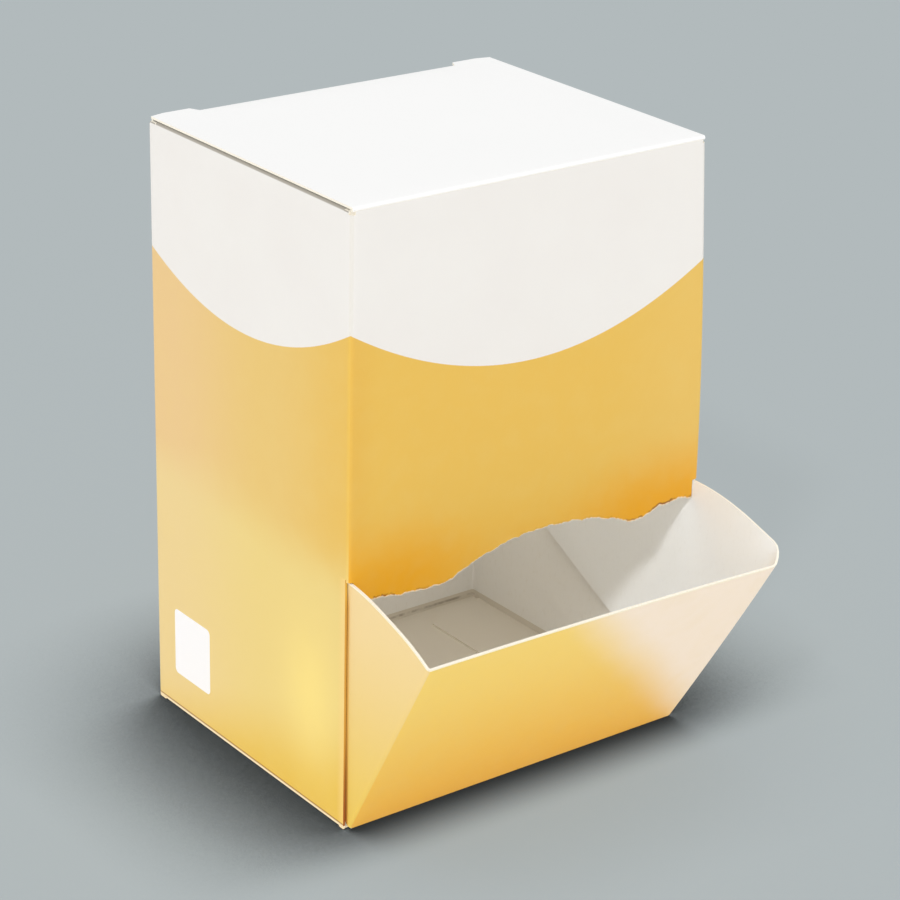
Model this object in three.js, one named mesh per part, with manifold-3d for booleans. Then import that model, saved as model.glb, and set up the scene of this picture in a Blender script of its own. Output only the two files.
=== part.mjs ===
// A folding carton that dispenses from a chute at the foot of its front.
// Millimetres, +Z up. The front faces -Y, and x runs from the left side panel to the right one.
// The part is drawn with its front left bottom corner at zero and centred on its base at the end.
import * as THREE from "three";
import { mergeVertices } from "three/addons/utils/BufferGeometryUtils.js";
import Module from "manifold-3d";

const wasm = await Module();
wasm.setup();

// The box, outside.
const width = 109;
const depth = 90;
const height = 165;

// The board, the clearance between pieces that move, and how far a cutter runs past a face.
// Glued faces press into each other by glueSink.
const board = 0.6;
const gap = 0.3;
const past = 2;
const glueSink = 0.05;

// The upright corners and the folds of the flaps, at their outer faces.
const cornerRadius = 1.2;
const foldRadius = 1;
const arcSteps = 4;

// The right side panel bows out, most at its front edge and at the height of the mouth.
const bowMost = 4.4;
const bowPower = 0.8;

// The mouth: side slots end at slotTop, and the torn rim runs between them a little lower.
// Each rim point is a share of the width and a height above rimLeft, read from the photograph.
const slotTop = 69.9;
const slotWidth = 1.3;
const rimLeft = 61.9;
const rimRight = 64.9;
const tornRim = [
  [0.063, 1.4], [0.159, 0.0], [0.249, -0.5], [0.292, 0.2], [0.340, 2.7], [0.398, 4.6], [0.471, 6.5],
  [0.550, 7.0], [0.627, 6.6], [0.703, 5.6], [0.782, 3.2], [0.837, 0.8], [0.868, 1.4], [0.914, 3.0],
  [0.978, 3.6],
];

// The chute: a front flap and two wings that turn about the front bottom crease.
const chuteLean = 28.8;
const flapHeight = 67.2;
const wingRadius = 69;
const wingFoot = 7.3;
const wingFootFall = 0.07;
const wingFlare = 4.2;
const wingFlareFall = 0.176;
const wingHeel = 3;

// The lid, its tuck flap and the shoulders beside the tuck flap's slits.
const lidSide = 0.4;
const shoulderWidth = 12;
const shoulderSlope = 1.5;
const tuckInset = 2;
const tuckLength = 18;
const tuckLean = 4;
const tuckSide = 2.4;
const tuckCorner = 9;
const slitGap = 0.5;

// The flaps of the side panels, top and bottom, and the seam flap inside the left panel.
const topFlapLength = 40;
const bottomFlapLength = 22;
const flapFrontInset = 3;
const flapBackInset = 3.6;
const flapCorner = 6;
const seamWidth = 13;
const seamInset = 4;

// Heights that follow from the sizes above.
const frontTop = height - 2 * board - gap;
const backTop = height - board - 0.4;
const topFlapFace = height - board - gap;
const wallTop = topFlapFace - foldRadius;
const wallBottom = board + foldRadius - glueSink;
const radians = Math.PI / 180;

// Joins a closed geometry's faces into a solid that can be added and cut.
function solidOf(geometry) {
  const bare = new THREE.BufferGeometry();
  bare.setAttribute("position", geometry.getAttribute("position"));
  bare.setIndex(geometry.index);
  const merged = mergeVertices(bare, 1e-4);
  return new wasm.Manifold(
    new wasm.Mesh({
      numProp: 3,
      vertProperties: new Float32Array(merged.attributes.position.array),
      triVerts: new Uint32Array(merged.index.array),
    }),
  );
}

// Extrudes an outline given in the plane of the two axes named first, along the third.
function extruded(outline, from, to, first, second, along) {
  const shape = new THREE.Shape(outline.map(([a, b]) => new THREE.Vector2(a, b)));
  const geometry = new THREE.ExtrudeGeometry(shape, { depth: to - from, bevelEnabled: false });
  const basis = new THREE.Matrix4().makeBasis(first, second, along);
  geometry.translate(0, 0, from);
  geometry.applyMatrix4(basis);
  return geometry;
}

const axisX = new THREE.Vector3(1, 0, 0);
const axisY = new THREE.Vector3(0, 1, 0);
const axisZ = new THREE.Vector3(0, 0, 1);

// An outline of [y, z] points carried along x.
function alongX(outline, from, to) {
  return extruded(outline, from, to, axisY, axisZ, axisX);
}

// An outline of [z, x] points carried along y.
function alongY(outline, from, to) {
  return extruded(outline, from, to, axisZ, axisX, axisY);
}

// An outline of [x, y] points carried along z.
function alongZ(outline, from, to) {
  return extruded(outline, from, to, axisX, axisY, axisZ);
}

// Points on an arc, in degrees from the first axis of its plane.
function arc(centreA, centreB, radius, fromAngle, toAngle, steps = arcSteps) {
  return Array.from({ length: steps + 1 }, (_, i) => {
    const angle = (fromAngle + ((toAngle - fromAngle) * i) / steps) * radians;
    return [centreA + radius * Math.cos(angle), centreB + radius * Math.sin(angle)];
  });
}

function block(x0, x1, y0, y1, z0, z1) {
  const outline = [[x0, y0], [x1, y0], [x1, y1], [x0, y1]];
  return solidOf(alongZ(outline, z0, z1));
}

// How far the bow moves a point of the walls to the right.
function bow(x, y, z) {
  const upright = Math.sin(Math.PI * Math.pow(z / height, bowPower));
  const rearwards = Math.cos((Math.PI / 2) * (y / depth));
  const across = Math.pow(Math.max(x, 0) / width, 2);
  return bowMost * Math.max(upright, 0) * rearwards * across;
}

// One turn of the box's plan, anticlockwise from the front left, inset from the outer faces.
function planLoop(inset) {
  const corners = [
    [width, 0, -90, 8],
    [width, depth, 0, 1],
    [0, depth, 90, 1],
    [0, 0, 180, 12],
  ];
  const loop = [];
  corners.forEach(([cornerX, cornerY, startAngle, sideSteps]) => {
    const centreX = cornerX === 0 ? cornerRadius : width - cornerRadius;
    const centreY = cornerY === 0 ? cornerRadius : depth - cornerRadius;
    const turn = arc(centreX, centreY, cornerRadius - inset, startAngle, startAngle + 90);
    const end = turn[turn.length - 1];
    loop.push(...turn);
    const nextAngle = (startAngle + 90) * radians;
    const runX = -Math.sin(nextAngle);
    const runY = Math.cos(nextAngle);
    const run = (Math.abs(runX) > 0.5 ? width : depth) - 2 * cornerRadius;
    for (let i = 1; i < sideSteps; i++) {
      loop.push([end[0] + (runX * run * i) / sideSteps, end[1] + (runY * run * i) / sideSteps]);
    }
  });
  return loop;
}

// The four walls as one tube of board, bowed, from wallBottom to wallTop.
function walls() {
  const levels = 18;
  const loops = [planLoop(0), planLoop(board)];
  const count = loops[0].length;
  const positions = [];
  for (let level = 0; level <= levels; level++) {
    const z = wallBottom + ((wallTop - wallBottom) * level) / levels;
    loops.forEach((loop) => {
      loop.forEach(([x, y]) => positions.push(x + bow(x, y, z), y, z));
    });
  }
  const index = [];
  const at = (level, side, i) => (level * 2 + side) * count + (i % count);
  const face = (a, b, c, d) => index.push(a, b, c, a, c, d);
  for (let i = 0; i < count; i++) {
    for (let level = 0; level < levels; level++) {
      face(at(level, 0, i), at(level, 0, i + 1), at(level + 1, 0, i + 1), at(level + 1, 0, i));
      face(at(level, 1, i + 1), at(level, 1, i), at(level + 1, 1, i), at(level + 1, 1, i + 1));
    }
    face(at(0, 0, i + 1), at(0, 0, i), at(0, 1, i), at(0, 1, i + 1));
    face(at(levels, 0, i), at(levels, 0, i + 1), at(levels, 1, i + 1), at(levels, 1, i));
  }
  const geometry = new THREE.BufferGeometry();
  geometry.setAttribute("position", new THREE.Float32BufferAttribute(positions, 3));
  geometry.setIndex(index);
  return solidOf(geometry);
}

// The cutter that opens the mouth up to the torn rim and frees the side panels' front edges.
function mouthCutter() {
  const leanAngle = chuteLean * radians;
  const wingHere = wingFlare * (Math.cos(leanAngle) - wingFlareFall * Math.sin(leanAngle));
  const rightEdge = width - 2 * (board + gap) + wingHere;
  const outline = [
    [-past, -past],
    [width + bowMost + past, -past],
    [width + bowMost + past, slotTop],
    [rightEdge, slotTop],
    [rightEdge, rimRight],
    ...tornRim.map(([share, rise]) => [share * width, rimLeft + rise]).reverse(),
    [board + slotWidth, rimLeft],
    [board + slotWidth, slotTop],
    [-past, slotTop],
  ];
  const turned = outline.map(([x, z]) => [z, x]).reverse();
  return solidOf(alongY(turned, -past, cornerRadius));
}

// A side panel's fold and the flap beyond it, seen along y, for the left panel's top.
function flapProfile(length) {
  const foldZ = topFlapFace - foldRadius;
  const outer = arc(foldRadius, foldZ, foldRadius, 180, 90);
  const inner = arc(foldRadius, foldZ, foldRadius - board, 90, 180);
  const end = [[length, topFlapFace], [length, topFlapFace - board]];
  return [[0, foldZ - 1], ...outer, ...end, ...inner, [board, foldZ - 1]];
}

// A flap with its two free corners cut back, as a solid at the top of the left panel.
function sideFlap(length) {
  const profile = flapProfile(length).map(([x, z]) => [z, x]);
  const front = flapFrontInset;
  const back = depth - flapBackInset;
  const flap = solidOf(alongY(profile, front, back));
  const corners = [
    [[length + past, front - past], [length + past, front + flapCorner], [length - flapCorner, front - past]],
    [[length + past, back + past], [length - flapCorner, back + past], [length + past, back - flapCorner]],
  ];
  return corners.reduce(
    (rest, corner) => rest.subtract(solidOf(alongZ(corner, height - 5, height + past))),
    flap,
  );
}

// Turns a solid's points with a function, for mirrored flaps; a mirror also turns its faces round.
function mirrored(solid, mapPoint) {
  const mesh = solid.getMesh();
  const positions = new Float32Array(mesh.numVert * 3);
  for (let i = 0; i < mesh.numVert; i++) {
    const at = i * mesh.numProp;
    positions.set(mapPoint(...mesh.vertProperties.subarray(at, at + 3)), i * 3);
  }
  const index = new Uint32Array(mesh.triVerts);
  for (let i = 0; i < index.length; i += 3) {
    [index[i + 1], index[i + 2]] = [index[i + 2], index[i + 1]];
  }
  return new wasm.Manifold(new wasm.Mesh({ numProp: 3, vertProperties: positions, triVerts: index }));
}

function toRightSide(solid) {
  return mirrored(solid, (x, y, z) => [width - x, y, z]);
}

function toBottom(solid) {
  return mirrored(solid, (x, y, z) => [x, y, height - gap - glueSink - z]);
}

// The carton: walls, flaps, seam flap and the glued bottom, one sheet.
function carton() {
  const topFlap = sideFlap(topFlapLength);
  const bottomFlap = toBottom(sideFlap(bottomFlapLength));
  const bottomStart = 2 * board + gap;
  const seam = [
    [depth - board - seamWidth, seamInset + 3],
    [depth - board - past, seamInset],
    [depth - board + 0.1, seamInset],
    [depth - board + 0.1, wallTop - seamInset],
    [depth - board - past, wallTop - seamInset],
    [depth - board - seamWidth, wallTop - seamInset - 3],
  ];
  const pieces = [
    block(cornerRadius, width - cornerRadius, 0, board, wallTop - 1, frontTop),
    block(cornerRadius, width - cornerRadius, depth - board, depth, wallTop - 1, backTop),
    block(cornerRadius, width - cornerRadius, depth - board, depth, board / 2, wallBottom + 1),
    block(lidSide, width - lidSide, bottomStart, depth - board / 2, 0, board),
    solidOf(alongX(seam, board - 0.1, 2 * board)),
    topFlap,
    toRightSide(topFlap),
    bottomFlap,
    toRightSide(bottomFlap),
  ];
  const closed = pieces.reduce((joined, piece) => joined.add(piece), walls());
  return closed.subtract(mouthCutter());
}

// The lid: its bead turns in the front crease, and its tuck flap hangs inside the back panel.
function lid() {
  const axisOffset = board;
  const foldY = depth - tuckInset - foldRadius;
  const foldZ = height - foldRadius;
  const leanTan = Math.tan(tuckLean * radians);
  const tuckEndZ = height - tuckLength;
  const tuckTop = foldZ - 0.2;
  const tuckShift = (foldZ - tuckEndZ) * leanTan;
  const bead = arc(axisOffset, height - axisOffset, board, 90, 270, 8);
  const panel = [
    ...bead,
    [axisOffset + 0.5, height - board],
    ...arc(foldY, foldZ, foldRadius - board, 90, 0),
    [foldY + foldRadius - board - tuckShift, tuckEndZ],
    [foldY + foldRadius - tuckShift, tuckEndZ],
    ...arc(foldY, foldZ, foldRadius, 0, 90),
  ];
  const middle = solidOf(alongX(panel, lidSide, width - lidSide));
  const slitX = lidSide + shoulderWidth;
  const shoulderPlan = [
    [lidSide, foldY - 1],
    [slitX + shoulderSlope, foldY - 1],
    [slitX + shoulderSlope, foldY + foldRadius],
    [slitX, depth],
    [lidSide + 1, depth],
    [lidSide, depth - 1],
  ];
  const shoulder = solidOf(alongZ(shoulderPlan, height - board, height));
  const slit = block(-past, slitX, foldY - 0.5, depth + past, tuckTop - slitGap, height - board);
  const foldEnd = block(-past, slitX, foldY, depth + past, height - board - 0.01, height + past);
  const corner = solidOf(
    alongY(
      [
        [tuckEndZ - past, -past],
        [tuckEndZ - past, tuckSide + tuckCorner],
        ...arc(tuckEndZ + tuckCorner, tuckSide + tuckCorner, tuckCorner, 180, 270, 6),
        [foldZ, tuckSide],
        [foldZ, -past],
      ].reverse(),
      depth - 8,
      depth + past,
    ),
  );
  const cutLeft = middle.subtract(slit).subtract(foldEnd).subtract(corner).add(shoulder);
  const half = block(-past, width / 2, -past, depth + past, 0, height + past);
  const left = cutLeft.intersect(half);
  return left.add(toRightSide(left));
}

// Moves the right-hand points of the chute outwards, so that its right wing follows the bowed panel.
function flared(geometry) {
  const points = geometry.getAttribute("position");
  const rate = wingFlare / wingRadius;
  for (let i = 0; i < points.count; i++) {
    const out = rate * Math.max(points.getZ(i) - wingFlareFall * points.getY(i), 0);
    if (points.getX(i) > width / 2) points.setX(i, points.getX(i) + out);
  }
  return solidOf(geometry);
}

// The chute, drawn closed with its hinge line at the origin of y and z.
function chute() {
  const left = board + gap;
  const right = width - board - gap;
  const half = board / 2;
  const flapSection = [
    [0, flapHeight],
    [-board, flapHeight],
    ...arc(0, 0, board, 180, 450, 12),
  ];
  const footAt = (y) => wingFoot - wingFootFall * y;
  const wingPlan = [
    [-board, 2 * board],
    [board, 4 * board],
    [wingHeel, footAt(wingHeel)],
    [wingRadius - wingHeel, footAt(wingRadius - wingHeel)],
    [wingRadius - wingHeel / 3, footAt(wingRadius) + wingHeel / 3],
    ...arc(0, 0, wingRadius, 7, 88, 20),
    [0.4, flapHeight + 1.1],
    [-board, flapHeight],
  ];
  const flap = flared(alongX(flapSection, left + half, right - half));
  const leftWing = solidOf(alongX(wingPlan, left, left + board));
  const rightWing = flared(alongX(wingPlan, right - board, right));
  return flap.add(leftWing).add(rightWing);
}

// Turns a solid into a mesh in the part's own frame.
function meshOf(name, solid, material, place) {
  const mesh = solid.getMesh();
  const positions = new Float32Array(mesh.numVert * 3);
  for (let i = 0; i < mesh.numVert; i++) {
    const at = i * mesh.numProp;
    positions.set(mesh.vertProperties.subarray(at, at + 3), i * 3);
  }
  const geometry = new THREE.BufferGeometry();
  geometry.setAttribute("position", new THREE.BufferAttribute(positions, 3));
  geometry.setIndex(new THREE.BufferAttribute(mesh.triVerts, 1));
  geometry.applyMatrix4(place);
  geometry.computeVertexNormals();
  const made = new THREE.Mesh(geometry, material);
  made.name = name;
  return made;
}

const coatedBoard = new THREE.MeshStandardMaterial({ color: 0xf3f1ec, roughness: 0.45, metalness: 0 });
const goldBoard = new THREE.MeshStandardMaterial({ color: 0xeac669, roughness: 0.45, metalness: 0 });
const centred = new THREE.Matrix4().makeTranslation(-width / 2, -depth / 2, 0);
const chutePlace = centred
  .clone()
  .multiply(new THREE.Matrix4().makeTranslation(0, board, board))
  .multiply(new THREE.Matrix4().makeRotationX(chuteLean * radians));

const dispenserBox = new THREE.Group();
dispenserBox.name = "dispenser_box";
dispenserBox.add(
  meshOf("carton", carton(), coatedBoard, centred),
  meshOf("top_lid", lid(), coatedBoard, centred),
  meshOf("dispenser_chute", chute(), goldBoard, chutePlace),
);

export default dispenserBox;
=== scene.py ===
"""The looks of a dispenser box: printed board, raw and torn edges, a pale floor and soft light."""

import math

import bpy
import numpy as np
from mathutils import Matrix, Vector


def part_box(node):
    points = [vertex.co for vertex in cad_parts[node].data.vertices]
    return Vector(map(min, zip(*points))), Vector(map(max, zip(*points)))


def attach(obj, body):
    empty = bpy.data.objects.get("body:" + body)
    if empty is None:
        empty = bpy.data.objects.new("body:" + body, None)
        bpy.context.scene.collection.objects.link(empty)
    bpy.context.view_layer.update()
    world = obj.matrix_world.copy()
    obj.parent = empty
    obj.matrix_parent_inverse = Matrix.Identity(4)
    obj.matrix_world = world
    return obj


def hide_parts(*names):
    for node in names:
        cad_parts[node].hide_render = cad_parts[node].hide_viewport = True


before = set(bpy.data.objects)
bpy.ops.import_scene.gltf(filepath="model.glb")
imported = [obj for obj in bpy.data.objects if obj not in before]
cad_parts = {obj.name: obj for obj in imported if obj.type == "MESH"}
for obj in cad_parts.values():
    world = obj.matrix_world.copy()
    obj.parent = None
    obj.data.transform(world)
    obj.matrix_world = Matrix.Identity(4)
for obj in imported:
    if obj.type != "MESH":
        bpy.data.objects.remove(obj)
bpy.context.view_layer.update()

# Sizes in millimetres, measured from the box's front left bottom corner, as in the part.
MM = 0.001
CARTON_LOW, CARTON_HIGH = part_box("carton")
WIDTH = -2 * CARTON_LOW.x / MM
DEPTH = (CARTON_HIGH.y - CARTON_LOW.y) / MM
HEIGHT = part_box("top_lid")[1].z / MM
BOARD = 0.6
GAP = 0.3
CORNER = 1.2
FOLD = 1.0
BOW_MOST = 4.4
BOW_POWER = 0.8

# The mouth and its torn rim: shares of the width and heights above RIM_LEFT.
SLOT_TOP = 69.9
SLOT_TOP_LEFT = 69.2
SLOT_LEFT = BOARD + 1.05
SLOT_RIGHT = 111.3
RIM_LEFT = 61.9
RIM_RIGHT = 64.9
TORN_RIM = [
    (0.063, 1.4), (0.159, 0.0), (0.249, -0.5), (0.292, 0.2), (0.340, 2.7), (0.398, 4.6),
    (0.471, 6.5), (0.550, 7.0), (0.627, 6.6), (0.703, 5.6), (0.782, 3.2), (0.837, 0.8),
    (0.868, 1.4), (0.914, 3.0), (0.978, 3.6),
]

# The small steps of the tear are five waves: their lengths, and their height by length.
RAGGED_WAVES = (7.3, 4.1, 2.3, 1.3, 0.8)
RAGGED_HEIGHT = 0.045
RAGGED_POWER = 0.6
RAGGED_SEED = 7

# Where the panels end: above the ground, under the lid and beside the folds.
PANEL_FOOT = 0.05
FRONT_TOP = HEIGHT - 1.57 * BOARD
BACK_TOP = HEIGHT - BOARD - 0.4
FOLD_END_GAP = 0.2

# The chute, drawn upright about the front bottom crease and then leaned out.
LEAN = math.radians(28.8)
FLAP_HEIGHT = 66.8
FLAP_TWIST = math.radians(1.7)
WING_RADIUS = 69.0
WING_END = math.radians(86.5)
WING_END_GAP = 1.2
WING_FOOT = 7.3
WING_FOOT_FALL = 0.07
WING_FLARE = 4.2
WING_FLARE_FALL = 0.176
WING_FLARE_POWER = 1.6
HEEL_LOW = 0.5
HEEL_START = 2.2
WING_HEEL = 5.2
WING_FOLD = 1.0
FOOT_SPREAD = 0.8
FOOT_SPREAD_ENDS = (0.5, 5)

# Each wing's top radius, and the angles between which it rises from the flap's height to that.
LEFT_TOP = (WING_RADIUS - 0.6, 12, 32)
RIGHT_TOP = (WING_RADIUS, -1.5, 5)

# How far the right wing stands out beyond its flare, by the angle along its top edge.
WING_BULGE = [
    (-1.0, -1.2), (0.0, -0.4), (1.5, 1.3), (3.0, 2.1), (4.0, 2.0), (6.0, 1.5), (10.0, 1.0),
    (16.0, 0.7), (24.0, 0.5), (35.0, 0.3), (80.0, 0.0),
]

# The lid.
LID_SIDE = 0.4
SHOULDER = 12.0
SHOULDER_SLOPE = 1.5
SHOULDER_CUT = 1
SLIT_START = 0.01
EAR_START = 0.06
BEAD_START = 245
TUCK_INSET = 2.0
TUCK_LENGTH = 18.0
TUCK_LEAN = math.radians(4)
TUCK_SIDE = 2.4
TUCK_CORNER = 9.0

# The flaps of the side panels, and the seam flap.
TOP_FLAP = 40.0
BOTTOM_FLAP = 22.0
BOTTOM_FOLD = 0.5
FLAP_FRONT = 3.0
FLAP_BACK = 3.6
FLAP_CORNER = 6.0
FLAP_FACE = HEIGHT - BOARD - GAP
SEAM_WIDTH = 13.0
SEAM_INSET = 4.0
SEAM_GAP = 0.2
SEAM_TAPER = 3
SEAM_TAPER_SHARE = 0.8

# The mesh: the spacing of its columns and rows, and how close points are welded or count as equal.
RIM_STEP = 0.45
FINE_STEP = 3.0
WALL_STEP = 4.0
COARSE_STEP = 6.0
BOTTOM_STEP = 9.0
WELD = 0.002
NEARLY = 1e-6
SHARP_ANGLE = math.radians(35)

# The way to the torn or cut edge, for points that are far from one.
NO_EDGE = 50.0


def bow(x, y, z):
    """How far the walls bow to the right at a point, as in the part."""
    upright = np.sin(np.pi * np.clip(z / HEIGHT, 0, 1) ** BOW_POWER)
    rearwards = np.cos(np.pi / 2 * np.clip(y / DEPTH, 0, 1))
    across = (np.clip(x, 0, None) / WIDTH) ** 2
    return BOW_MOST * np.clip(upright, 0, None) * rearwards * across


class Sheet:
    """Board drawn by its outer face, in grids that are welded and then given a thickness."""

    def __init__(self):
        self.points, self.edge_ways, self.quads = [], [], []

    def grid(self, points, edge_way=None, flip=False):
        """Adds rows of points as quads. The outer face shows where rows run up and columns right."""
        points = np.asarray(points, float)
        rows, columns = points.shape[:2]
        start = sum(len(p) for p in self.points)
        index = start + np.arange(rows * columns).reshape(rows, columns)
        quads = np.stack(
            [index[:-1, :-1], index[:-1, 1:], index[1:, 1:], index[1:, :-1]], -1
        ).reshape(-1, 4)
        self.quads.append(quads[:, ::-1] if flip else quads)
        self.points.append(points.reshape(-1, 3))
        ways = np.full(rows * columns, NO_EDGE) if edge_way is None else np.ravel(edge_way)
        self.edge_ways.append(ways)

    def build(self, name, materials, turn=None):
        """Makes the object: slot 0 is the outer face, slot 1 the inner one and slot 2 the edges."""
        points = np.concatenate(self.points)
        keys = np.round(points / WELD).astype(np.int64)
        unique, first, place = np.unique(keys, axis=0, return_index=True, return_inverse=True)
        place = place.ravel()
        edge_way = np.full(len(unique), NO_EDGE)
        np.minimum.at(edge_way, place, np.concatenate(self.edge_ways))
        quads = place[np.concatenate(self.quads)]
        faces = [tidy for tidy in map(without_repeats, quads.tolist()) if len(tidy) > 2]
        points = points[first]
        if turn is not None:
            points = turn(points)
        placed = (points - (WIDTH / 2, DEPTH / 2, 0)) * MM
        mesh = bpy.data.meshes.new(name)
        mesh.from_pydata(placed.tolist(), [], faces)
        attribute = mesh.attributes.new("edge_way", "FLOAT", "POINT")
        attribute.data.foreach_set("value", edge_way.astype(np.float32))
        shape = bpy.data.objects.new(name, mesh)
        bpy.context.scene.collection.objects.link(shape)
        for material in materials:
            mesh.materials.append(material)
        solid = shape.modifiers.new("board", "SOLIDIFY")
        solid.thickness = BOARD * MM
        solid.offset = -1
        solid.material_offset = 1
        solid.material_offset_rim = 2
        return finished(shape)


def without_repeats(face):
    """A face without corners that were welded into one."""
    return [v for i, v in enumerate(face) if v != face[i - 1]]


def finished(shape):
    """Applies a piece's modifiers and shades it smooth, with its edges kept sharp."""
    view = bpy.context.evaluated_depsgraph_get()
    mesh = bpy.data.meshes.new_from_object(shape.evaluated_get(view))
    mesh.name = shape.name
    shape.modifiers.clear()
    shape.data = mesh
    mesh.polygons.foreach_set("use_smooth", [True] * len(mesh.polygons))
    mesh.set_sharp_from_angle(angle=SHARP_ANGLE)
    return shape


def arc(centre, radius, start, end, steps=6):
    """Points on an arc in a plane, between two angles in degrees."""
    angles = np.radians(np.linspace(start, end, steps + 1))
    return np.stack([centre[0] + radius * np.cos(angles), centre[1] + radius * np.sin(angles)], -1)


def smooth_step(value, low, high):
    """0 below low, 1 above high and smooth between them."""
    t = np.clip((value - low) / (high - low), 0, 1)
    return t * t * (3 - 2 * t)


def rim_height(x):
    """The torn rim's height across the front: the tear's line with small, ragged steps."""
    shares = [SLOT_LEFT / WIDTH] + [p[0] for p in TORN_RIM] + [SLOT_RIGHT / WIDTH]
    rises = [0] + [p[1] for p in TORN_RIM] + [RIM_RIGHT - RIM_LEFT]
    line = RIM_LEFT + np.interp(x / WIDTH, shares, rises)
    rng = np.random.default_rng(RAGGED_SEED)
    ragged = np.zeros_like(x)
    for wave in RAGGED_WAVES:
        height = RAGGED_HEIGHT * wave**RAGGED_POWER
        ragged += height * np.sin(2 * np.pi * (x / wave + rng.random()))
    return line + ragged


def wall_columns(low, high, step, fixed=()):
    """Positions from low to high about a step apart, with some fixed ones among them."""
    marks = [low, *sorted(fixed), high]
    runs = [
        np.linspace(a, b, max(1, round((b - a) / step)) + 1)[:-1]
        for a, b in zip(marks, marks[1:])
    ]
    return np.concatenate([*runs, [high]])


def flap_reach(y, length):
    """How far a side flap reaches at y, with its two corners cut back."""
    front = np.clip(FLAP_CORNER - (y - FLAP_FRONT), 0, FLAP_CORNER)
    back = np.clip(FLAP_CORNER - (DEPTH - FLAP_BACK - y), 0, FLAP_CORNER)
    return length - np.maximum(front, back)


def bowed(points):
    """Moves wall points by the bow."""
    moved = points.copy()
    moved[..., 0] += bow(points[..., 0], points[..., 1], points[..., 2])
    return moved


def wall_grid(plan, heights):
    """Rows of a wall: every plan point at every height."""
    plan = np.asarray(plan)
    rows = np.zeros((len(heights), len(plan), 3))
    rows[..., :2] = plan[None]
    rows[..., 2] = np.asarray(heights)[:, None]
    return bowed(rows)


def unbowed(x, z):
    """Where on the front panel a point lies before the bow moves it to x."""
    flat = x
    for _ in range(8):
        flat = x - bow(flat, 0.0, z)
    return float(flat)


def add_tongue(sheet, front_x, tongue_end):
    """The front panel's lower part, which hangs down between the slots to the torn rim."""
    tongue_x = front_x[(front_x >= SLOT_LEFT - NEARLY) & (front_x <= tongue_end + NEARLY)]
    plan_x = tongue_x + bow(tongue_x, 0.0, np.full_like(tongue_x, SLOT_TOP))
    rim = rim_height(plan_x)
    near_rim = [0, 0.012, 0.03, 0.06, 0.1, 0.16, 0.24, 0.34]
    share = np.concatenate([near_rim, np.linspace(0.46, 1, 7)])
    heights = rim[None] + (SLOT_TOP - rim)[None] * share[:, None]
    tongue = np.zeros((len(share), len(tongue_x), 3))
    tongue[..., 0] = tongue_x[None]
    tongue[..., 2] = heights
    sheet.grid(bowed(tongue), edge_way=heights - rim[None])


def add_side_flaps(sheet, side_y):
    """The side panels fold over into flaps at the top and bottom."""
    flap_y = side_y[(side_y >= FLAP_FRONT) & (side_y <= DEPTH - FLAP_BACK)]
    for length, radius, top in ((TOP_FLAP, FOLD, True), (BOTTOM_FLAP, BOTTOM_FOLD, False)):
        reach = flap_reach(flap_y, length)
        path = list(arc((radius, FLAP_FACE - radius), radius, 180, 90))
        path += [(radius + (reach - radius) * t, FLAP_FACE) for t in np.linspace(0, 1, 9)[1:]]
        flap = np.zeros((len(path), len(flap_y), 3))
        flap[..., 1] = flap_y
        for row, (x, z) in zip(flap, path):
            row[:, 0] = x
            row[:, 2] = z
        if not top:
            flap[..., 2] = FLAP_FACE + BOARD - flap[..., 2]
        mirrored = flap * (-1, 1, 1) + (WIDTH, 0, 0)
        sheet.grid(flap, flip=top)
        sheet.grid(mirrored, flip=not top)


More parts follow.
